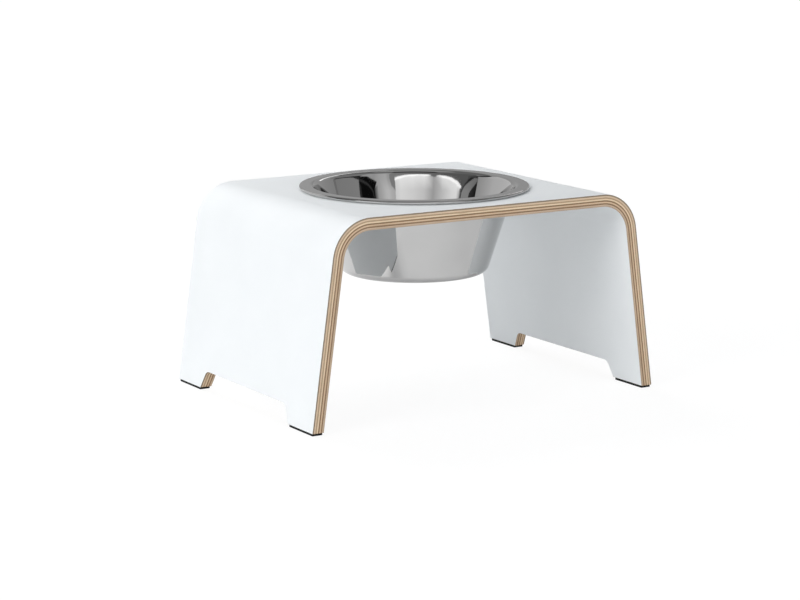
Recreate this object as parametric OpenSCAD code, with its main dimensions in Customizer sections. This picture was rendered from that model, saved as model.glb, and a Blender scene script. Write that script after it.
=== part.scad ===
// Dog feeder stand: one board of laminated plywood bent into an arch, with a steel bowl hung in its top.
// The origin is on the floor under the middle of the top, +X runs across the legs and +Y to the rear.

/* [Stand] */
// Height of the top face above the floor, with the pads
stand_h = 200; // [160:1:320]
// Depth from the front edge to the rear edge
stand_d = 273; // [245:1:420]
// Width across the outer edges of the feet
foot_span = 391.4; // [370:0.2:540]
// Lean of each leg from the vertical, inwards going up
leg_lean = 8; // [2:0.1:12]
// Radius of each bend on the outer face
bend_r = 40.6; // [24:0.2:60]

/* [Board] */
// Thickness of the white laminate on the outside
outer_laminate_t = 1.5; // [0.6:0.1:3]
// Thickness of one veneer
veneer_t = 1.4; // [0.8:0.1:2]
// Thickness of the white laminate on the inside
inner_laminate_t = 0.8; // [0.4:0.1:2]

/* [Feet] */
// Width of a foot at the bottom of the board
foot_w = 47; // [30:0.5:70]
// Height of the cut-out between two feet, measured along the leg
cut_h = 18; // [10:0.5:60]
// Slope of the ends of the cut-out, from the vertical
cut_slope = 27; // [0:1:45]
// Radius in the upper corners of the cut-out
cut_r = 8; // [2:0.5:14]

/* [Pads] */
// Thickness of a foot pad
pad_t = 2.4; // [1:0.1:6]
// Distance of a pad from the ends of its foot
pad_end_inset = 1.2; // [0.5:0.1:6]
// Distance of a pad from the faces of the board
pad_side_inset = 0.6; // [0.3:0.1:3]
// Radius of the corners of a pad
pad_corner_r = 1.2; // [0.4:0.1:3]

/* [Bowl] */
// Diameter of the wall's outer face at the height of the stand's top
bowl_d = 199.4; // [150:0.2:210]
// Depth of the bowl's underside below the stand's top
bowl_drop = 84; // [40:0.5:130]
// Draft of the wall from the vertical
bowl_draft = 17.7; // [6:0.1:25]
// Thickness of the steel sheet
bowl_t = 0.8; // [0.5:0.1:1.2]
// Outer radius between the wall and the base
base_r = 9.7; // [3:0.1:20]
// Radius under the rim, where the wall turns outwards
neck_r = 4.8; // [1.5:0.1:6]
// Width of the rim beyond the wall at the height of the stand's top
rim_w = 14.9; // [11:0.1:20]
// Height of the rim above the stand's top
rim_h = 3.7; // [2.8:0.1:6]
// Width of the strip folded back under the rim
hem_w = 3; // [1:0.1:5]
// Clearance between the wall and the hole in the board
bowl_gap = 2.8; // [1:0.1:5]

/* [Hidden] */

$fn = 128;
veneer_count = 7;
board_t = outer_laminate_t + veneer_count * veneer_t + inner_laminate_t;
white = [0.95, 0.96, 0.97];
long_grain = [0.83, 0.69, 0.50];
cross_grain = [0.62, 0.47, 0.31];
steel = [0.72, 0.73, 0.74];
black = [0.07, 0.07, 0.07];

// Length by which a cutter runs past what it cuts
past = 5;
// Hair by which a round overlaps the flats that it joins
blend = 0.002;

// Centre of the right-hand bend, common to every layer
bend_z = stand_h - bend_r;
bend_x = foot_span / 2 - (bend_z - pad_t) * tan(leg_lean) - bend_r / cos(leg_lean);

// Steel bowl: its hole in the board, its base and the two levels of its rim
hole_r = bowl_d / 2 + bowl_gap;
base_z = stand_h - bowl_drop;
rim_top = stand_h + rim_h;
rim_under = rim_top - bowl_t;
hem_r = rim_h / 2;
hem_x = bowl_d / 2 + rim_w - hem_r;

// Centre of the radius at the base, on the inside of the wall
base_c = [wall_x(base_z + base_r) - base_r / cos(bowl_draft), base_z + base_r];
// Centre of the radius under the rim, on the outside of the wall
neck_c = [wall_x(rim_under - neck_r) + neck_r / cos(bowl_draft), rim_under - neck_r];

// Distance of the wall's outer face from the bowl's axis at height z
function wall_x(z) = bowl_d / 2 + (z - stand_h) * tan(bowl_draft);

// Depth from the outer face to the near face of veneer i, counted from the outside
function veneer_depth(i) = outer_laminate_t + i * veneer_t;

// A half outline, given from its foot to its middle, with its mirror image
function both_halves(half) = concat(half, [for (i = [len(half) - 1:-1:0]) [-half[i].x, half[i].y]]);

// The arch filled in below its surface at a depth from the outer face, down to the top of the pads
module arch(depth) {
    r = bend_r - depth;
    polygon(both_halves([
        [foot_span / 2 - depth / cos(leg_lean), pad_t],
        [bend_x + r * cos(leg_lean), bend_z + r * sin(leg_lean)],
        [bend_x, bend_z + r]
    ]));
    for (side = [-1, 1])
        translate([side * bend_x, bend_z])
            circle(r = r + blend);
}

// Outline of the cut-out between two feet, in the plane of the leg
module cut_outline() {
    low_x = stand_d / 2 - foot_w;
    round_x = low_x - cut_h * tan(cut_slope) - cut_r * tan(45 - cut_slope / 2);
    round_z = cut_h - cut_r;
    polygon(both_halves([
        [low_x + past * tan(cut_slope), -past],
        [round_x + cut_r * cos(cut_slope), round_z + cut_r * sin(cut_slope)],
        [round_x, cut_h]
    ]));
    for (side = [-1, 1])
        translate([side * round_x, round_z])
            circle(r = cut_r + blend);
}

// What is cut out of every layer: the hole for the bowl and the gap between the feet of each leg
module board_cuts() {
    translate([0, 0, stand_h - board_t - past])
        cylinder(h = board_t + 2 * past, r = hole_r);
    for (side = [-1, 1])
        translate([side * foot_span / 2, 0, pad_t])
            rotate([0, -side * leg_lean, 0])
                rotate([90, 0, 90])
                    linear_extrude(2 * (board_t + past), center = true)
                        cut_outline();
}

// One layer of the board, from a depth below the outer face and of thickness t
module layer(depth, t) {
    difference() {
        rotate([90, 0, 0])
            linear_extrude(stand_d, center = true)
                difference() {
                    arch(depth);
                    arch(depth + t);
                }
        board_cuts();
    }
}

module outer_laminate() {
    color(white) layer(0, outer_laminate_t);
}

module long_veneer(i) {
    color(long_grain) layer(veneer_depth(i), veneer_t);
}

module cross_veneer(i) {
    color(cross_grain) layer(veneer_depth(i), veneer_t);
}

module inner_laminate() {
    color(white) layer(veneer_depth(veneer_count), inner_laminate_t);
}

// Section of the bowl filled in above its surface, at a depth into the sheet, out to edge_x and up to top_z
module bowl_fill(depth, edge_x, top_z) {
    out = [cos(bowl_draft), -sin(bowl_draft)];
    difference() {
        union() {
            polygon([
                [0, base_z + depth],
                [base_c.x, base_z + depth],
                base_c + (base_r - depth) * out,
                neck_c - (neck_r + depth) * out,
                [neck_c.x, rim_under + depth],
                [edge_x, rim_under + depth],
                [edge_x, top_z],
                [0, top_z]
            ]);
            translate(base_c)
                circle(r = base_r - depth + blend);
        }
        translate(neck_c)
            circle(r = neck_r + depth + blend);
    }
}

// Section of the rim's edge, rolled down and folded back underneath to rest on the stand
module hem_section() {
    difference() {
        union() {
            translate([hem_x - hem_w, stand_h])
                square([hem_w, rim_h]);
            translate([hem_x, stand_h + hem_r])
                circle(r = hem_r);
        }
        translate([hem_x - hem_w - past, stand_h + bowl_t])
            square([hem_w + past, rim_h - 2 * bowl_t]);
        translate([hem_x, stand_h + hem_r])
            circle(r = hem_r - bowl_t);
    }
}

module bowl() {
    color(steel)
        rotate_extrude() {
            difference() {
                bowl_fill(0, hem_x, rim_top);
                bowl_fill(bowl_t, neck_c.x, rim_top + past);
            }
            hem_section();
        }
}

// One pad under a foot: side is -1 for left and 1 for right, end is -1 for front and 1 for rear
module pad(side, end) {
    foot_t = board_t / cos(leg_lean);
    pad_l = foot_w - 2 * pad_end_inset;
    pad_w = foot_t - 2 * pad_side_inset;
    color(black)
        translate([side * (foot_span - foot_t) / 2, end * (stand_d - foot_w) / 2, 0])
            linear_extrude(pad_t) {
                square([pad_w - 2 * pad_corner_r, pad_l], center = true);
                square([pad_w, pad_l - 2 * pad_corner_r], center = true);
                for (sx = [-1, 1], sy = [-1, 1])
                    translate([sx * (pad_w / 2 - pad_corner_r), sy * (pad_l / 2 - pad_corner_r)])
                        circle(r = pad_corner_r);
            }
}

outer_laminate();
long_veneer(0);  // face_veneer_outer
cross_veneer(1);  // cross_veneer_outer
long_veneer(2);  // core_veneer_outer
cross_veneer(3);  // cross_veneer_middle
long_veneer(4);  // core_veneer_inner
cross_veneer(5);  // cross_veneer_inner
long_veneer(6);  // face_veneer_inner
inner_laminate();
bowl();
pad(-1, -1);  // front_left_pad
pad(1, -1);  // front_right_pad
pad(-1, 1);  // rear_left_pad
pad(1, 1);  // rear_right_pad
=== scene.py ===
import math

import bmesh
import bpy
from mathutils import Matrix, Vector


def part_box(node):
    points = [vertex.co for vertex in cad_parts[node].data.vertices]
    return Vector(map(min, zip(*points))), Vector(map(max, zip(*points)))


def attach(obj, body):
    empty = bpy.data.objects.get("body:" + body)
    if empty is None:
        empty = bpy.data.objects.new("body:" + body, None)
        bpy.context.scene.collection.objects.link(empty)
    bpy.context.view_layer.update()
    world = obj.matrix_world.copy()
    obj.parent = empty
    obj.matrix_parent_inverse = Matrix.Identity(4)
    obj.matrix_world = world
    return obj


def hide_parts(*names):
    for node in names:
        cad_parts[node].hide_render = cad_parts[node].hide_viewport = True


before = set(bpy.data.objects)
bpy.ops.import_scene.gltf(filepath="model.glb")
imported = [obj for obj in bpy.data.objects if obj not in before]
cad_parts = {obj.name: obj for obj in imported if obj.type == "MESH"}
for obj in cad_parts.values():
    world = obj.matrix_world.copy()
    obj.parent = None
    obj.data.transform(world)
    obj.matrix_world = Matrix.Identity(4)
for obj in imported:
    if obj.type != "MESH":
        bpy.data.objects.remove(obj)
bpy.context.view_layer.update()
scene = bpy.context.scene
print("frame loaded:", len(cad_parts), "nodes")


def addPiece(name, mesh, node, body):
    piece = bpy.data.objects.new(name, mesh)
    scene.collection.objects.link(piece)
    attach(piece, body)
    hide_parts(node)
    return piece


def finishMesh(bm, name, sharpAngle):
    bmesh.ops.recalc_face_normals(bm, faces=bm.faces)
    for face in bm.faces:
        face.smooth = True
    mesh = bpy.data.meshes.new(name)
    bm.to_mesh(mesh)
    bm.free()
    mesh.set_sharp_from_angle(angle=math.radians(sharpAngle))
    return mesh


def flattenShading(piece, faceWeight=90):
    weighted = piece.modifiers.new("weightedNormals", "WEIGHTED_NORMAL")  # big flats keep their own normal
    weighted.keep_sharp = True
    weighted.weight = faceWeight


def arcPoints(centre, radius, fromAngle, toAngle, steps):
    points = []
    for step in range(steps + 1):
        angle = fromAngle + (toAngle - fromAngle) * step / steps
        points.append((centre[0] + radius * math.cos(angle), centre[1] + radius * math.sin(angle)))
    return points


# node building for the materials

def startMaterial(name):
    material = bpy.data.materials.new(name)
    material.use_nodes = True
    tree = material.node_tree
    return material, tree, tree.nodes["Principled BSDF"]


def addNode(tree, kind, sockets=None, **settings):
    node = tree.nodes.new(kind)
    for key, value in settings.items():
        setattr(node, key, value)
    for key, value in (sockets or {}).items():
        if isinstance(value, bpy.types.NodeSocket):
            tree.links.new(value, node.inputs[key])
        else:
            node.inputs[key].default_value = value
    return node


def feed(tree, shader, sockets):
    for key, value in sockets.items():
        tree.links.new(value, shader.inputs[key])


def flatPosition(tree):
    return addNode(tree, "ShaderNodeAttribute", attribute_name="flatPos").outputs["Vector"]


def toneNode(tree, factor, span, low, high):
    ramp = addNode(tree, "ShaderNodeValToRGB", {"Fac": factor})
    for element, position, colour in zip(ramp.color_ramp.elements, span, (low, high)):
        element.position = position
        element.color = (*colour, 1.0)
    return ramp.outputs["Color"]


def mathNode(tree, operation, first, second):
    return addNode(tree, "ShaderNodeMath", {0: first, 1: second}, operation=operation).outputs["Value"]


def rangeNode(tree, value, low, high):
    spread = addNode(tree, "ShaderNodeMapRange", {"Value": value, "To Min": low, "To Max": high})
    return spread.outputs["Result"]


def spanNode(tree, value, source, target):
    spread = addNode(
        tree, "ShaderNodeMapRange",
        {"Value": value, "From Min": source[0], "From Max": source[1], "To Min": target[0], "To Max": target[1]},
    )
    return spread.outputs["Result"]


def bumpNode(tree, height, distance, strength):
    bump = addNode(tree, "ShaderNodeBump", {"Height": height, "Distance": distance, "Strength": strength})
    return bump.outputs["Normal"]


def noiseNode(tree, vector, scale, detail=3.0, rough=0.5):
    noise = addNode(
        tree, "ShaderNodeTexNoise",
        {"Vector": vector, "Scale": scale, "Detail": detail, "Roughness": rough},
    )
    return noise.outputs["Fac"]


def stretched(tree, vector, factors):
    scaled = addNode(tree, "ShaderNodeVectorMath", {0: vector, 1: factors}, operation="MULTIPLY")
    return scaled.outputs["Vector"]


# bent board: nine sheets pressed into one arch, all cut to the same flat outline

board = {
    "legLean": 8.0,             # degrees from the vertical
    "bendRadius": 0.0406,       # on the outer face
    "innerLaminate": 0.0008,    # thickness of the sheet on the inside
    "holeRadius": 0.1025,
    "footWidth": 0.047,
    "cutHeight": 0.018,         # of the gap between the feet, along the leg
    "cutSlope": 27.0,           # degrees from the leg's own direction
    "cutRadius": 0.008,
    "easedEdge": 0.00035,       # where the faces meet the sawn edges
    "bendSteps": 28,
    "cutSteps": 8,
    "holeSteps": 192,
    "easedSteps": 4,
    "sharpAngle": 35.0,
}
sheets = [
    "outer_laminate",
    "face_veneer_outer",
    "cross_veneer_outer",
    "core_veneer_outer",
    "cross_veneer_middle",
    "core_veneer_inner",
    "cross_veneer_inner",
    "face_veneer_inner",
    "inner_laminate",
]
boardLow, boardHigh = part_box("outer_laminate")
halfDepth = boardHigh.y
topZ = boardHigh.z
footZ = boardLow.z
lean = math.radians(board["legLean"])
bendZ = topZ - board["bendRadius"]
bendX = boardHigh.x - (bendZ - footZ) * math.tan(lean) - board["bendRadius"] / math.cos(lean)
bendTurn = math.pi / 2 - lean
bendEnd = bendX + board["bendRadius"] * bendTurn


def legLength(depth):
    return (bendZ + (board["bendRadius"] - depth) * math.sin(lean) - footZ) / math.cos(lean)


def boardPoint(run, y, depth):
    # run is measured along the outer face from the middle of the top
    side = 1 if run >= 0 else -1
    radius = board["bendRadius"] - depth
    turn = min(max((abs(run) - bendX) / board["bendRadius"], 0.0), bendTurn)
    leg = max(abs(run) - bendEnd, 0.0)
    x = min(abs(run), bendX) + radius * math.sin(turn) + leg * math.sin(lean)
    z = bendZ + radius * math.cos(turn) - leg * math.cos(lean)
    return side * x, y, z


def quarterOutline(inset, depth):
    # from the middle of the front edge round the right foot to the top of the gap between the feet
    y = -halfDepth + inset
    foot = bendEnd + legLength(depth) - inset
    points = [(0.0, y)]
    for step in range(board["bendSteps"] + 1):
        points.append((bendX + (bendEnd - bendX) * step / board["bendSteps"], y))
    points.append((foot, y))
    slope = math.radians(board["cutSlope"])
    floorRun = bendEnd + legLength(0.0)
    lowY = halfDepth - board["footWidth"]
    insetLowY = lowY + inset / math.cos(slope)
    points.append((foot, -(insetLowY - (floorRun - foot) * math.tan(slope))))
    roundY = (lowY - board["cutHeight"] * math.tan(slope)
              - board["cutRadius"] * math.tan(math.pi / 4 - slope / 2))
    roundUp = board["cutHeight"] - board["cutRadius"]
    for across, up in arcPoints(
            (roundY, roundUp), board["cutRadius"] + inset, slope, math.pi / 2, board["cutSteps"]):
        points.append((floorRun - up, -across))
    return points


def boardOutline(inset, depth):
    quarter = quarterOutline(inset, depth)
    right = quarter + [(run, -y) for run, y in reversed(quarter)]
    left = [(-run, y) for run, y in reversed(right)]
    return right + left[1:-1]


def holeOutline(inset):
    steps = board["holeSteps"]
    angles = [math.pi / 2 - 2 * math.pi * step / steps for step in range(steps)]
    radius = board["holeRadius"] + inset
    return [(radius * math.cos(angle), radius * math.sin(angle)) for angle in angles]


def capSheet(bm, edge, hole):
    # the right half of the top, its bend and its leg, and then the same on the left, counted backwards
    rear = 2 * len(quarterOutline(0.0, 0.0)) - 1
    last = board["bendSteps"] + 1
    for side in (1, -1):
        around = [hole[side * step] for step in range(len(hole) // 2 + 1)]
        bm.faces.new([edge[side * index] for index in (0, 1, rear - 1, rear)] + around)
        for index in range(1, last):
            strip = (index, index + 1, rear - index - 1, rear - index)
            bm.faces.new([edge[side * corner] for corner in strip])
        bm.faces.new([edge[side * index] for index in range(last, rear - last + 1)])


def sheetMesh(name, rings):
    # rings are (depth, inset, material) from the outer face to the inner one
    bm = bmesh.new()
    flatPos = bm.verts.layers.float_vector.new("flatPos")
    loops = []
    for depth, inset, _ in rings:
        ring = []
        for outline in (boardOutline(inset, depth), holeOutline(inset)):
            verts = []
            for run, y in outline:
                vert = bm.verts.new(boardPoint(run, y, depth))
                vert[flatPos] = (run, y, depth)
                verts.append(vert)
            ring.append(verts)
        loops.append(ring)
    for upper, lower, (_, _, material) in zip(loops, loops[1:], rings):
        for top, bottom in zip(upper, lower):
            for index in range(len(top)):
                following = (index + 1) % len(top)
                wall = bm.faces.new((top[index], top[following], bottom[following], bottom[index]))
                wall.material_index = material
    for ring in (loops[0], loops[-1]):
        capSheet(bm, *ring)
    return finishMesh(bm, name, board["sharpAngle"])


def easedRings(faceDepth, inward):
    # quarter round from the face to the edge; inward is 1 from the outer face, -1 from the inner one
    radius = board["easedEdge"]
    rings = []
    for step in range(board["easedSteps"] + 1):
        angle = math.pi / 2 * step / board["easedSteps"]
        depth = faceDepth + inward * radius * (1 - math.cos(angle))
        rings.append((depth, radius * (1 - math.sin(angle)), 1))
    return rings


def sheetDepths():
    tops = [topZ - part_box(node)[1].z for node in sheets]
    return tops + [tops[-1] + board["innerLaminate"]]


def makeSheets(materials):
    depths = sheetDepths()
    for index, node in enumerate(sheets):
        near, far = depths[index], depths[index + 1]
        if index == 0:
            rings = easedRings(near, 1) + [(far, 0.0, 1)]
            for step in range(board["easedSteps"] // 2):
                rings[step] = (*rings[step][:2], 0)  # the white skin ends on the eased edge
        elif index == len(sheets) - 1:
            rings = [(near, 0.0, 1)] + easedRings(far, -1)[::-1]
            rings[-2] = (*rings[-2][:2], 0)
        else:
            rings = [(near, 0.0, 0), (far, 0.0, 0)]
        name = node + "_sheet"
        piece = addPiece(name, sheetMesh(name, rings), node, "stand")
        for material in materials[node]:
            piece.data.materials.append(material)
        flattenShading(piece)
    print("board made of", len(sheets), "sheets")


# white laminate: satin decor face with a fine pearl texture, brown paper core at the sawn edge

laminate = {
    "face": (0.868, 0.888, 0.897),
    "faceShade": (0.848, 0.87, 0.88),
    "cloudScale": 14.0,         # faint clouds between the two colours
    "cloudSpan": (0.35, 0.65),
    "roughness": (0.36, 0.44),
    "pearlScale": 2600.0,
    "pearlDepth": 0.00001,
    "pearlStrength": 0.35,
    "outerCore": ((0.259, 0.198, 0.134), (0.179, 0.134, 0.089)),       # light and dark
    "innerCore": ((0.437, 0.312, 0.21), (0.348, 0.25, 0.165)),
    "paperLayers": (60.0, 60.0, 9000.0),
    "paperSpan": (0.3, 0.7),
    "paperDepth": 0.00003,
    "paperStrength": 0.4,
    "paperRoughness": 0.62,
}


def laminateFace():
    material, tree, shader = startMaterial("whiteLaminateFace")
    flat = flatPosition(tree)
    cloud = noiseNode(tree, flat, laminate["cloudScale"], detail=4.0)
    pearl = noiseNode(tree, flat, laminate["pearlScale"], detail=2.0)
    feed(tree, shader, {
        "Base Color": toneNode(tree, cloud, laminate["cloudSpan"], laminate["faceShade"], laminate["face"]),
        "Roughness": rangeNode(tree, cloud, *laminate["roughness"]),
        "Normal": bumpNode(tree, pearl, laminate["pearlDepth"], laminate["pearlStrength"]),
    })
    return material


def laminateCore(side):
    material, tree, shader = startMaterial(side + "LaminatePaper")
    light, dark = laminate[side + "Core"]
    layers = stretched(tree, flatPosition(tree), laminate["paperLayers"])
    paper = noiseNode(tree, layers, 1.0, detail=4.0, rough=0.6)
    feed(tree, shader, {
        "Base Color": toneNode(tree, paper, laminate["paperSpan"], dark, light),
        "Normal": bumpNode(tree, paper, laminate["paperDepth"], laminate["paperStrength"]),
    })
    shader.inputs["Roughness"].default_value = laminate["paperRoughness"]
    return material


# beech veneers: the fibres run round the arch in one sheet and across it in the next

veneer = {
    "face_veneer_outer": {"light": (0.661, 0.504, 0.357), "dark": (0.545, 0.406, 0.277), "across": False},
    "cross_veneer_outer": {"light": (0.446, 0.317, 0.196), "dark": (0.312, 0.214, 0.125), "across": True},
    "core_veneer_outer": {"light": (0.741, 0.585, 0.411), "dark": (0.616, 0.478, 0.326), "across": False},
    "cross_veneer_middle": {"light": (0.277, 0.164, 0.08), "dark": (0.167, 0.095, 0.043), "across": True},
    "core_veneer_inner": {"light": (0.634, 0.473, 0.321), "dark": (0.518, 0.375, 0.25), "across": False},
    "cross_veneer_inner": {"light": (0.277, 0.164, 0.08), "dark": (0.167, 0.095, 0.045), "across": True},
    "face_veneer_inner": {"light": (0.518, 0.393, 0.281), "dark": (0.42, 0.317, 0.223), "across": False},
    "alongGrain": 14.0,         # streaks per metre along the fibres
    "acrossGrain": 900.0,       # and across them
    "streakSpan": (0.32, 0.68),
    "poreScale": 2400.0,
    "poreSpan": (0.28, 0.42),
    "poreShade": (0.62, 0.56, 0.5),     # share of the wood's colour in a pore
    "poreDepth": 0.00006,
    "poreStrength": 0.5,
    "roughness": (0.52, 0.68),
}


def veneerMaterial(node):
    look = veneer[node]
    material, tree, shader = startMaterial(node + "_wood")
    flat = flatPosition(tree)
    along, across = veneer["alongGrain"], veneer["acrossGrain"]
    grain = (across, along, across) if look["across"] else (along, across, across)
    streaks = noiseNode(tree, stretched(tree, flat, grain), 1.0, detail=5.0, rough=0.62)
    share = veneer["poreScale"] / across
    poreGrain = tuple(factor * share for factor in grain)
    pores = noiseNode(tree, stretched(tree, flat, poreGrain), 1.0, detail=2.0)
    tone = toneNode(tree, streaks, veneer["streakSpan"], look["dark"], look["light"])
    fleck = toneNode(tree, pores, veneer["poreSpan"], veneer["poreShade"], (1.0, 1.0, 1.0))
    mixed = addNode(
        tree, "ShaderNodeMix", {"Factor": 1.0, "A": tone, "B": fleck}, data_type="RGBA", blend_type="MULTIPLY")
    feed(tree, shader, {
        "Base Color": [socket for socket in mixed.outputs if socket.type == "RGBA"][0],
        "Roughness": rangeNode(tree, streaks, *veneer["roughness"]),
        "Normal": bumpNode(tree, pores, veneer["poreDepth"], veneer["poreStrength"]),
    })
    return material


def boardMaterials():
    materials = {node: [veneerMaterial(node)] for node in sheets[1:-1]}
    white = laminateFace()
    materials[sheets[0]] = [white, laminateCore("outer")]
    materials[sheets[-1]] = [white, laminateCore("inner")]
    return materials


makeSheets(boardMaterials())


# steel bowl: one sheet spun to a cone, with a flat rim rolled under at its edge

bowl = {
    "wallRadius": 0.0997,       # outside, at the height of the stand's top
    "draft": 17.7,              # degrees from the vertical
    "sheet": 0.0008,
    "baseRadius": 0.0097,       # outside, between wall and base
    "neckRadius": 0.0048,       # underneath, between wall and rim
    "flareHeight": 0.0172,      # the wall opens a little just below the rim
    "flare": 1.4,               # degrees
    "hemWidth": 0.003,
    "aroundSteps": 288,
    "curveSteps": 16,
    "sharpAngle": 50.0,
    "colour": (0.554, 0.552, 0.55),
    "colourShade": (0.534, 0.532, 0.53),
    "smearScale": 26.0,         # faint smears between the two colours
    "smearSpan": (0.3, 0.7),
    "roughness": (0.02, 0.045),
    "spinLines": 2600.0,        # polishing lines per metre along the sheet
    "spinDepth": 0.000004,
    "spinStrength": 0.05,
}


def bowlProfile():
    low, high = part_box("bowl")
    draft = math.radians(bowl["draft"])
    sheet, baseRadius, neckRadius = bowl["sheet"], bowl["baseRadius"], bowl["neckRadius"]
    hemRadius = (high.z - topZ) / 2
    hemX = high.x - hemRadius
    hemZ = topZ + hemRadius
    steps = bowl["curveSteps"]

    def wallX(z):
        return bowl["wallRadius"] + (z - topZ) * math.tan(draft)

    baseZ = low.z + baseRadius
    base = (wallX(baseZ) - baseRadius / math.cos(draft), baseZ)
    neckZ = high.z - sheet - neckRadius
    opened = draft + math.radians(bowl["flare"])
    flareStep = bowl["flareHeight"] / steps
    z = neckZ + neckRadius * math.sin(opened) - bowl["flareHeight"]
    x = wallX(z)
    flareOut, flareIn = [], []
    for step in range(steps + 1):
        angle = draft + (opened - draft) * step / steps
        flareOut.append((x, z))
        flareIn.append((x - sheet * math.cos(angle), z + sheet * math.sin(angle)))
        x += flareStep * math.tan(angle + (opened - draft) / (2 * steps))
        z += flareStep
    neck = (flareOut[-1][0] + neckRadius * math.cos(opened), neckZ)
    inside = [(0.0, low.z + sheet)]
    inside += arcPoints(base, baseRadius - sheet, -math.pi / 2, -draft, steps)
    inside += flareIn[:-1] + arcPoints(neck, neckRadius + sheet, math.pi - opened, math.pi / 2, steps)
    hem = arcPoints((hemX, hemZ), hemRadius, math.pi / 2, -math.pi / 2, steps)
    hem += [(hemX - bowl["hemWidth"], topZ), (hemX - bowl["hemWidth"], topZ + sheet)]
    hem += arcPoints((hemX, hemZ), hemRadius - sheet, -math.pi / 2, math.pi / 2, steps)
    outside = arcPoints(neck, neckRadius, math.pi / 2, math.pi - opened, steps) + flareOut[-2::-1]
    outside += arcPoints(base, baseRadius, -draft, -math.pi / 2, steps)
    return inside + hem + outside + [(0.0, low.z)]


def latheMesh(name, profile):
    bm = bmesh.new()
    runLayer = bm.verts.layers.float.new("sheetRun")
    steps = bowl["aroundSteps"]
    rings = []
    run = 0.0
    before = profile[0]
    for radius, z in profile:
        run += math.dist(before, (radius, z))
        before = (radius, z)
        count = steps if radius > 0 else 1
        ring = []
        for step in range(count):
            angle = 2 * math.pi * step / steps
            vert = bm.verts.new((radius * math.cos(angle), radius * math.sin(angle), z))
            vert[runLayer] = run
            ring.append(vert)
        rings.append(ring)
    for ring, following in zip(rings, rings[1:]):
        for step in range(steps):
            after = (step + 1) % steps
            corners = [ring[step % len(ring)], ring[after % len(ring)],
                       following[after % len(following)], following[step % len(following)]]
            bm.faces.new(list(dict.fromkeys(corners)))  # a triangle where a ring is one point
    return finishMesh(bm, name, bowl["sharpAngle"])


def steelMaterial():
    material, tree, shader = startMaterial("polishedSteel")
    run = addNode(tree, "ShaderNodeAttribute", attribute_name="sheetRun").outputs["Fac"]
    lines = addNode(
        tree, "ShaderNodeTexNoise", {"W": run, "Scale": bowl["spinLines"], "Detail": 3.0},
        noise_dimensions="1D").outputs["Fac"]
    place = addNode(tree, "ShaderNodeTexCoord").outputs["Object"]
    smear = noiseNode(tree, place, bowl["smearScale"], detail=4.0)
    feed(tree, shader, {
        "Base Color": toneNode(tree, smear, bowl["smearSpan"], bowl["colourShade"], bowl["colour"]),
        "Roughness": rangeNode(tree, smear, *bowl["roughness"]),
        "Normal": bumpNode(tree, lines, bowl["spinDepth"], bowl["spinStrength"]),
    })
    shader.inputs["Metallic"].default_value = 1.0
    return material


bowlPiece = addPiece("spun_bowl", latheMesh("spun_bowl", bowlProfile()), "bowl", "bowl")
bowlPiece.data.materials.append(steelMaterial())
flattenShading(bowlPiece)
print("bowl spun:", len(bowlPiece.data.polygons), "faces")


# foot pads: thin rubber strips with round corners

pad = {
    "cornerRadius": 0.0012,
    "easedEdge": 0.0003,
    "cornerSteps": 8,
    "easedSteps": 4,
    "colour": (0.006, 0.006, 0.0065),
    "colourWorn": (0.013, 0.013, 0.014),
    "scuffScale": 120.0,
    "scuffSpan": (0.4, 0.75),
    "grainScale": 1800.0,
    "grainDepth": 0.00008,
    "grainStrength": 0.5,
    "roughness": (0.62, 0.8),
    "specular": 0.2,
}


def padOutline(halfX, halfY, inset):
    radius = pad["cornerRadius"] - inset
    points = []
    for quarter, (sideX, sideY) in enumerate([(1, 1), (-1, 1), (-1, -1), (1, -1)]):
        centre = (sideX * (halfX - pad["cornerRadius"]), sideY * (halfY - pad["cornerRadius"]))
        start = quarter * math.pi / 2
        points += arcPoints(centre, radius, start, start + math.pi / 2, pad["cornerSteps"])
    return points


def padMesh(name, node):
    low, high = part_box(node)
    centre, half = (low + high) / 2, (high - low) / 2
    rings = []
    for step in range(pad["easedSteps"] + 1):
        angle = math.pi / 2 * step / pad["easedSteps"]
        inset = pad["easedEdge"] * (1 - math.sin(angle))
        rings.append((low.z + pad["easedEdge"] * (1 - math.cos(angle)), inset))
    rings.append((high.z, 0.0))
    bm = bmesh.new()
    loops = []
    for z, inset in rings:
        outline = padOutline(half.x, half.y, inset)
        loops.append([bm.verts.new((centre.x + x, centre.y + y, z)) for x, y in outline])
    for lower, upper in zip(loops, loops[1:]):
        for index in range(len(lower)):
            following = (index + 1) % len(lower)
            bm.faces.new((lower[index], lower[following], upper[following], upper[index]))
    bm.faces.new(loops[0])
    bm.faces.new(loops[-1])
    return finishMesh(bm, name, board["sharpAngle"])


def rubberMaterial():
    material, tree, shader = startMaterial("padRubber")
    place = addNode(tree, "ShaderNodeTexCoord").outputs["Object"]
    grain = noiseNode(tree, place, pad["grainScale"], detail=3.0, rough=0.6)
    scuff = noiseNode(tree, place, pad["scuffScale"], detail=4.0)
    feed(tree, shader, {
        "Base Color": toneNode(tree, scuff, pad["scuffSpan"], pad["colour"], pad["colourWorn"]),
        "Roughness": rangeNode(tree, grain, *pad["roughness"]),
        "Normal": bumpNode(tree, grain, pad["grainDepth"], pad["grainStrength"]),
    })
    shader.inputs["Specular IOR Level"].default_value = pad["specular"]
    return material


rubber = rubberMaterial()
for node in ("front_left_pad", "front_right_pad", "rear_left_pad", "rear_right_pad"):
    name = node + "_rubber"
    piece = addPiece(name, padMesh(name, node), node, "stand")
    piece.data.materials.append(rubber)
    flattenShading(piece)
print("pads made")


# camera: the photograph's place and framing

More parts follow.
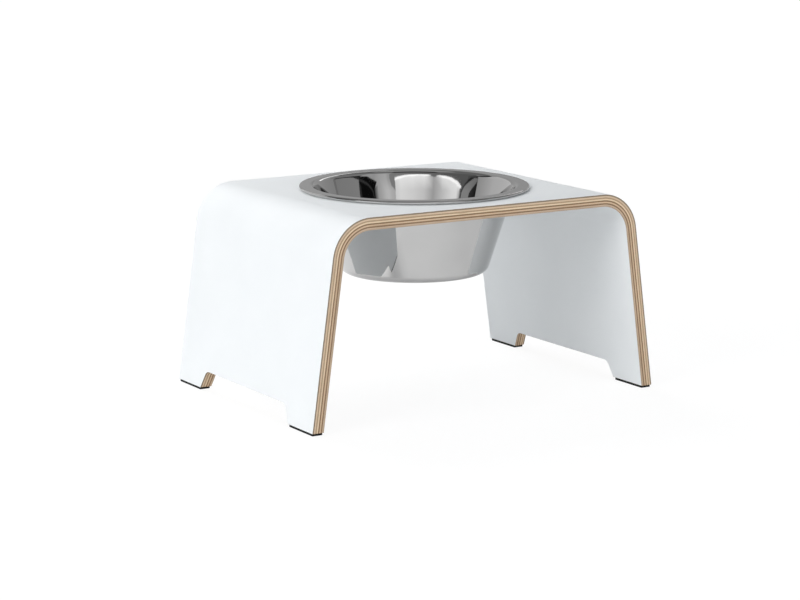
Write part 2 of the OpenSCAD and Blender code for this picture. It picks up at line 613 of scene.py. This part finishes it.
shot = {
    "place": (-1.3093, -2.0967, 0.5691),
    "turn": 31.6555,            # degrees to the right of straight ahead
    "tilt": -11.0552,
    "focal": 113.053,           # millimetres on a 36 mm wide sensor
    "sensor": 36.0,
}
camera = bpy.data.objects.new("camera", bpy.data.cameras.new("camera"))
camera.data.sensor_fit = "HORIZONTAL"
camera.data.sensor_width = shot["sensor"]
camera.data.lens = shot["focal"]
camera.location = shot["place"]
camera.rotation_euler = (math.radians(90 + shot["tilt"]), 0.0, -math.radians(shot["turn"]))
scene.collection.objects.link(camera)
scene.camera = camera


# studio: white floor and surround, soft lamps, and cards that only the steel and the gloss see; the floor as the
# steel sees it has painted shade and painted light

studio = {
    "aim": (0.0, 0.0, 0.19),
    "floorSize": 30.0,
    "floorDrop": 0.0002,
    "floorGlow": (0.88, 0.96),  # near the object and away from it
    "farSpan": (0.5, 2.5),
    "floorShade": 0.16,
    "paintedGlossGlow": (0.71, 0.5),   # the floor as the steel sees it, from left to right: painted shade, darker to the right
    "paintedGlossSpan": (-0.05, 0.33),
    "glossPaintedPatches": [           # painted shadows and painted light on the floor as the steel sees it: middle of a patch, where its share starts and ends to fade, and that share
        ((0.0, 0.05, 0.0), (0.1, 0.25), 0.58),          # painted shade under the stand
        ((-0.17, -0.1, 0.0), (0.0, 0.07), 0.65),        # painted contact shadow at the front left foot
        ((-0.215, -0.07, 0.0), (0.015, 0.05), 1.45),    # painted pool of light outside the gap of the left leg
        ((0.155, 0.005, 0.0), (0.03, 0.1), 0.58),       # painted shade at the right leg
    ],
    "glossShade": 0.35,
    "floorColour": (0.9, 0.905, 0.91),
    "ambient": (0.94, 0.97, 1.0),
    "ambientStrength": 0.4,
    "tentSteps": 48,            # the walls and ceiling that the steel sees behind the cards
    "tentRadius": 13.6,
    "tentTop": 12.6,
    "tentGlow": 0.42,
    "ceilingGlow": 0.2,
}
lamps = {
    "leftKey": {"turn": -75.0, "rise": 25.0, "distance": 3.2, "size": (1.6, 1.6), "power": 49.5},
    "rearTop": {"turn": 180.0, "rise": 45.0, "distance": 1.1, "size": (0.8, 0.6), "power": 6.3},
    "frontFill": {"turn": 20.0, "rise": 6.0, "distance": 2.6, "size": (2.2, 0.8), "power": 23.2},
    "frontLeft": {"turn": -30.0, "rise": 4.0, "distance": 2.6, "size": (1.2, 0.6), "power": 5.5},
}
# each card is a flat sheet seen from the bowl; a corner is its turn from straight in front towards the right,
# its rise above the horizon and its glow there
cards = {
    "rightFlag": (11.2, [(16.8, 25.9, 0.006), (19.6, 24.6, 0.006), (20.6, 23.4, 0.006), (25, -4, 0.006),
                         (46, -4, 0.006), (41.3, 22.5, 0.006), (39.8, 23.4, 0.006), (35, 24.6, 0.006),
                         (30, 25.2, 0.006), (25.2, 25.5, 0.006)]),
    "rightFlagNear": (11.0, [(16.0, 25.5, 0.45), (20.8, 24.2, 0.02), (25, -4, 0.02), (19, -4, 0.45)]),
    "rightFlagFar": (11.1, [(38, -4, 0.04), (49, -4, 0.08), (42.6, 20.2, 0.07), (41.5, 22.3, 0.04),
                            (38.8, 22, 0.03), (36.5, 20.8, 0.03)]),
    "rightAbove": (12.6, [(14, 24, 0.5), (38, 24, 0.5), (38, 45, 0.5), (14, 45, 0.5)]),
    "rightCard": (12.1, [(39.1, 22.95, 0.35), (44.3, -4, 0.37), (79.8, -4, 0.32), (77.8, 15.4, 0.32),
                         (46, 22.05, 0.35)]),
    "rightEdge": (12.0, [(37.3, 25.8, 0.03), (39.1, 22.95, 0.03), (46, 22.05, 0.03), (77.8, 15.4, 0.05),
                         (81.8, 20, 0.05), (53.3, 24.2, 0.03)]),
    "rightStrip": (12.3, [(76, -4, 0.25), (83.8, -4, 0.25), (83.8, 22, 0.25), (76, 22, 0.25)]),
    "rightRear": (12.4, [(80, -4, 0.36), (116, -4, 0.42), (116, 24, 0.42), (80, 24, 0.36)]),
    "rearLight": (11.6, [(116, 20, 2.0), (123, 20, 2.0), (138, 60, 1.6), (130, 60, 1.6)]),
    "leftFlag": (12.2, [(-117.2, -4, 0.01), (-93.2, -4, 0.14), (-93.4, 22.1, 0.14), (-95.3, 22.65, 0.08),
                        (-97.7, 23, 0.02), (-100, 23.15, 0.02), (-103.5, 23.1, 0.01), (-107, 22.8, 0.01),
                        (-111.5, 22.3, 0.01), (-117.2, 21, 0.01)]),
    "leftCard": (11.8, [(-94.6, 10, 0.4), (-94.9, 21.6, 0.4), (-96.3, 22.2, 0.38), (-97.7, 22.5, 0.37),
                        (-99.5, 22.65, 0.35), (-103.5, 22.55, 0.31), (-106.3, 22.35, 0.28), (-111.5, 21.9, 0.27),
                        (-116.5, 20.9, 0.26), (-117.5, 20.3, 0.25), (-115.2, 20.35, 0.24), (-113, 20.4, 0.27),
                        (-110.3, 20.45, 0.3), (-106.5, 20.25, 0.37), (-104, 10, 0.4)]),
    "leftWedge": (12.3, [(-101.7, 23, 0.12), (-119.7, 21, 0.05), (-168.7, 40.5, 0.02), (-168.7, 43, 0.02),
                         (-116.7, 34, 0.03), (-103.7, 26, 0.12)]),
    "rearLeftNear": (12.4, [(-142, -4, 0.68), (-116.9, -4, 0.45), (-116.9, 30, 0.45), (-142, 34, 0.68)]),
    "rearLeftFar": (12.5, [(-184, -4, 0.75), (-141, -4, 0.68), (-141, 36, 0.68), (-184, 36, 0.75)]),
    "rearFar": (12.2, [(139, -2, 0.31), (154, -2, 0.42), (154, 16, 0.42), (139, 16, 0.31)]),
    "overhead": (12.3, [(turn, 66, 0.42) for turn in range(0, 360, 30)]),
    "ceilingGap": (11.0, [(-68, 50, 0.02), (2, 50, 0.02), (14, 70, 0.02), (-80, 70, 0.02)]),
}

# each panel is a row of upright stations: its turn, then rise and glow from the bottom to the top
panels = {
    "leftAbove": (12.8, [
        (-126.0, [(20, 0.15), (48, 0.15)]),
        (-112.0, [(21, 0.15), (48, 0.15)]),
        (-98.0, [(22, 0.15), (48, 0.15)]),
        (-84.0, [(23, 0.15), (48, 0.15)]),
        (-70.0, [(24, 0.17), (48, 0.17)]),
    ]),
    "rightUpper": (12.8, [
        (34.0, [(20, 0.3), (50, 0.36)]),
        (50.0, [(20, 0.27), (50, 0.33)]),
        (66.0, [(19, 0.25), (50, 0.3)]),
        (82.0, [(18, 0.25), (50, 0.28)]),
        (98.0, [(18, 0.3), (50, 0.28)]),
    ]),
    "boxesAbove": (12.6, [
        (-70.0, [(24, 0.2), (48, 0.18)]),
        (-52.0, [(24, 0.26), (48, 0.2)]),
        (-34.0, [(24, 0.28), (48, 0.24)]),
        (-16.0, [(24, 0.32), (48, 0.26)]),
        (2.0, [(24, 0.36), (48, 0.26)]),
    ]),
    "paleCard": (12.4, [
        (-9.0, [(-4, 0.66), (26.3, 0.66), (28.5, 0.42), (45, 0.36)]),
        (-2.3, [(-4, 0.76), (26, 0.74), (28.3, 0.5), (45, 0.4)]),
        (1.5, [(-4, 0.86), (25.7, 0.84), (28, 0.54), (45, 0.45)]),
        (5.0, [(-4, 0.81), (25.4, 0.81), (27.7, 0.67), (45, 0.5)]),
        (13.0, [(-4, 0.6), (24.6, 0.6), (27, 0.6), (45, 0.5)]),
        (20.3, [(-4, 0.5), (23.8, 0.5), (26.2, 0.5), (45, 0.5)]),
    ]),
    "boxPanel": (12.0, [
        (-92.8, [(-4, 0.62), (22.4, 0.62), (23.3, 1.35)]),
        (-91.0, [(-4, 0.9), (22.7, 0.9), (23.8, 1.35)]),
        (-88.5, [(-4, 1.25), (23.1, 1.25), (24.4, 1.35)]),
        (-82.3, [(-4, 1.18), (24.1, 1.2), (25.7, 1.28)]),
        (-69.0, [(-4, 0.84), (25.4, 0.87), (27.8, 1.3)]),
        (-57.0, [(-4, 0.56), (26.4, 0.57), (28.9, 0.63)]),
        (-45.0, [(-4, 0.88), (26.9, 0.92), (29.65, 1.38)]),
        (-30.0, [(-4, 1.05), (27.1, 1.08), (29.74, 1.4)]),
        (-14.5, [(-4, 1.14), (26.8, 1.18), (29, 1.38)]),
        (-7.4, [(-4, 1.05), (26.4, 1.05), (28.3, 1.15)]),
    ]),
    "flagArc": (10.9, [
        (41.3, [(22.55, 0.09), (22.85, 0.09)]),
        (39.5, [(22.75, 0.05), (23.2, 0.05)]),
        (36.0, [(23.1, 0.05), (23.6, 0.05)]),
        (33.0, [(23.35, 0.05), (23.85, 0.05)]),
        (29.0, [(23.6, 0.05), (24.1, 0.05)]),
        (25.0, [(23.45, 0.045), (23.95, 0.045)]),
        (22.0, [(23.0, 0.04), (23.5, 0.04)]),
    ]),
    "frontRim": (12.0, [
        (-53.0, [(29.3, 0.7), (29.8, 0.7)]),
        (-48.7, [(29.5, 1.9), (30.0, 1.9)]),
        (-40.0, [(29.72, 1.9), (30.3, 1.9)]),
        (-30.0, [(29.74, 1.9), (30.25, 1.9)]),
        (-22.4, [(29.45, 1.9), (29.95, 1.9)]),
        (-15.0, [(29.0, 1.9), (29.5, 1.9)]),
        (-11.0, [(28.65, 1.9), (29.2, 1.9)]),
        (-6.8, [(28.2, 1.8), (28.7, 1.8)]),
    ]),
    "leftRim": (12.0, [
        (-94.5, [(22.9, 1.6), (23.3, 1.6)]),
        (-93.0, [(23.25, 1.6), (23.8, 1.6)]),
        (-88.3, [(24.3, 1.7), (25.1, 1.7)]),
        (-84.0, [(25.25, 1.75), (25.95, 1.75)]),
        (-79.5, [(26.2, 1.8), (26.85, 1.8)]),
        (-75.6, [(26.9, 1.85), (27.4, 1.85)]),
        (-71.6, [(27.45, 1.85), (27.95, 1.85)]),
        (-67.7, [(27.95, 1.85), (28.35, 1.85)]),
        (-63.9, [(28.4, 1.5), (28.8, 1.5)]),
        (-60.0, [(28.65, 0.8), (28.95, 0.8)]),
    ]),
}


def emptyTree(owner):
    owner.use_nodes = True
    owner.node_tree.nodes.clear()
    return owner.node_tree


def glowMaterial(name, glow=None):
    # with no glow given, each corner has its own
    material = bpy.data.materials.new(name)
    tree = emptyTree(material)
    if glow is None:
        glow = addNode(tree, "ShaderNodeAttribute", attribute_name="glow").outputs["Fac"]
    emission = addNode(tree, "ShaderNodeEmission", {"Strength": glow})
    addNode(tree, "ShaderNodeOutputMaterial", {"Surface": emission.outputs["Emission"]})
    return material


def stageObject(name, verts, faces, material):
    mesh = bpy.data.meshes.new(name)
    mesh.from_pydata(verts, [], faces)
    mesh.materials.append(material)
    thing = bpy.data.objects.new(name, mesh)
    scene.collection.objects.link(thing)
    return thing


def onlyInGloss(thing):
    thing.visible_camera = False
    thing.visible_diffuse = False
    thing.visible_shadow = False
    thing.visible_transmission = False
    thing.visible_volume_scatter = False


def heading(turn):
    angle = math.radians(turn)
    return Vector((math.sin(angle), -math.cos(angle), 0.0))


def away(turn, rise):
    angle = math.radians(rise)
    return heading(turn) * math.cos(angle) + Vector((0.0, 0.0, math.sin(angle)))


def addCard(name, distance, corners, faces, material):
    aim = Vector(studio["aim"])
    verts = [aim + away(turn, rise) * distance for turn, rise, _ in corners]
    thing = stageObject(name, verts, faces, material)
    glow = thing.data.attributes.new("glow", "FLOAT", "POINT")
    glow.data.foreach_set("value", [corner[2] for corner in corners])
    onlyInGloss(thing)


def addPanel(name, distance, stations, material):
    levels = len(stations[0][1])
    corners = [(turn, rise, glow) for turn, column in stations for rise, glow in column]
    faces = []
    for station in range(len(stations) - 1):
        for level in range(levels - 1):
            near = station * levels + level
            far = near + levels
            faces.append((near, far, far + 1, near + 1))
    addCard(name, distance, corners, faces, material)


def addTent():
    steps, radius, top = studio["tentSteps"], studio["tentRadius"], studio["tentTop"]
    ring = [heading(360.0 * step / steps) * radius for step in range(steps)]
    verts = [Vector((p.x, p.y, 0.0)) for p in ring] + [Vector((p.x, p.y, top)) for p in ring]
    walls = [(i, (i + 1) % steps, steps + (i + 1) % steps, steps + i) for i in range(steps)]
    onlyInGloss(stageObject("tentWall", verts, walls, glowMaterial("tentWall", studio["tentGlow"])))
    ceiling = glowMaterial("tentCeiling", studio["ceilingGlow"])
    onlyInGloss(stageObject("tentCeiling", verts[steps:], [tuple(range(steps))], ceiling))


def seenDirectly(tree):
    rays = addNode(tree, "ShaderNodeLightPath").outputs
    seen = mathNode(tree, "MAXIMUM", rays["Is Camera Ray"], rays["Is Glossy Ray"])
    return mathNode(tree, "MAXIMUM", seen, rays["Is Transmission Ray"])


def addFloor():
    material = bpy.data.materials.new("whiteFloor")
    tree = emptyTree(material)
    inGloss = addNode(tree, "ShaderNodeLightPath").outputs["Is Glossy Ray"]
    spot = addNode(tree, "ShaderNodeNewGeometry").outputs["Position"]
    fromMiddle = addNode(tree, "ShaderNodeVectorMath", {0: spot}, operation="LENGTH").outputs["Value"]
    around = spanNode(tree, fromMiddle, studio["farSpan"], studio["floorGlow"])
    across = addNode(tree, "ShaderNodeSeparateXYZ", {"Vector": spot}).outputs
    # for glossy rays the floor glow carries painted shade: darker to the right, with painted shadow and light
    # patches below
    paintedSteelGlow = spanNode(tree, across["X"], studio["paintedGlossSpan"], studio["paintedGlossGlow"])
    for middle, reach, share in studio["glossPaintedPatches"]:
        gap = addNode(tree, "ShaderNodeVectorMath", {0: spot, 1: middle}, operation="DISTANCE").outputs["Value"]
        # each patch multiplies in painted shadow, or painted light where its share is above one
        paintedPatch = spanNode(tree, gap, reach, (share, 1.0))
        paintedSteelGlow = mathNode(tree, "MULTIPLY", paintedSteelGlow, paintedPatch)
    glowLevel = rangeNode(tree, inGloss, around, paintedSteelGlow)
    shadeLevel = rangeNode(tree, inGloss, studio["floorShade"], studio["glossShade"])
    plain = addNode(tree, "ShaderNodeBsdfDiffuse", {"Color": (*studio["floorColour"], 1.0)})
    shade = addNode(tree, "ShaderNodeBsdfDiffuse", {"Color": shadeLevel})
    glow = addNode(tree, "ShaderNodeEmission", {"Strength": glowLevel})
    white = addNode(tree, "ShaderNodeAddShader", {0: shade.outputs["BSDF"], 1: glow.outputs["Emission"]})
    mix = addNode(
        tree, "ShaderNodeMixShader",
        {"Fac": seenDirectly(tree), 1: plain.outputs["BSDF"], 2: white.outputs["Shader"]})
    addNode(tree, "ShaderNodeOutputMaterial", {"Surface": mix.outputs["Shader"]})
    half = studio["floorSize"] / 2
    drop = -studio["floorDrop"]
    verts = [(-half, -half, drop), (half, -half, drop), (half, half, drop), (-half, half, drop)]
    stageObject("floor", verts, [(0, 1, 2, 3)], material)


def addWorld():
    world = bpy.data.worlds.new("studio")
    scene.world = world
    tree = emptyTree(world)
    ambient = addNode(
        tree, "ShaderNodeBackground",
        {"Color": (*studio["ambient"], 1.0), "Strength": studio["ambientStrength"]})
    white = addNode(tree, "ShaderNodeBackground", {"Color": (1.0, 1.0, 1.0, 1.0), "Strength": 1.0})
    mix = addNode(
        tree, "ShaderNodeMixShader",
        {"Fac": seenDirectly(tree), 1: ambient.outputs["Background"], 2: white.outputs["Background"]})
    addNode(tree, "ShaderNodeOutputWorld", {"Surface": mix.outputs["Shader"]})


def addLamp(name, lamp):
    light = bpy.data.lights.new(name, "AREA")
    light.shape = "RECTANGLE"
    light.size, light.size_y = lamp["size"]
    light.energy = lamp["power"]
    thing = bpy.data.objects.new(name, light)
    outward = away(lamp["turn"], lamp["rise"])
    thing.location = Vector(studio["aim"]) + outward * lamp["distance"]
    thing.rotation_mode = "QUATERNION"
    thing.rotation_quaternion = outward.to_track_quat("Z", "Y")
    thing.visible_glossy = False
    scene.collection.objects.link(thing)


addFloor()
addWorld()
addTent()
cardGlow = glowMaterial("cardGlow")
for name, (distance, corners) in cards.items():
    addCard(name, distance, corners, [tuple(range(len(corners)))], cardGlow)
for name, (distance, stations) in panels.items():
    addPanel(name, distance, stations, cardGlow)
for name, lamp in lamps.items():
    addLamp(name, lamp)
scene.view_settings.view_transform = "Standard"
print("studio set with", len(cards) + len(panels), "cards and", len(lamps), "lamps")
